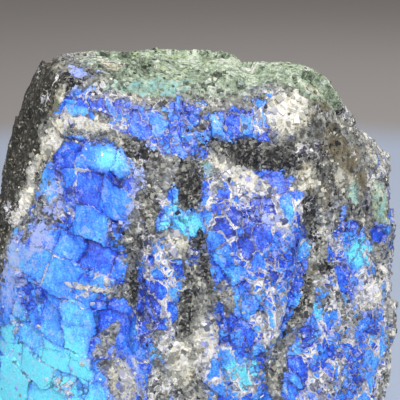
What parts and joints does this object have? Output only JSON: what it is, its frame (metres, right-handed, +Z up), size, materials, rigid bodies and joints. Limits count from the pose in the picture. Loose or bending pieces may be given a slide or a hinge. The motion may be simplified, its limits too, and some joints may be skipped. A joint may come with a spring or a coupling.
{
  "type": "rough labradorite chunk",
  "caption": "Rough broken labradorite chunk with a shimmering blue front, a pale green upper rim, grey crushed seams and a flat base it stands on.",
  "frame": {"origin": "middle of the flat base, at the level of the surface that the stone stands on", "axes": "+Z up, the shimmering front faces -Y, +X to the right as seen from the front"},
  "size_m": [0.1022, 0.0718, 0.1053],
  "materials": {
    "labradorite": "rough broken feldspar with glassy blue cleavage grains"
  },
  "bodies": {
    "root": {"labradorite_chunk": "labradorite"}
  },
  "joints": []
}
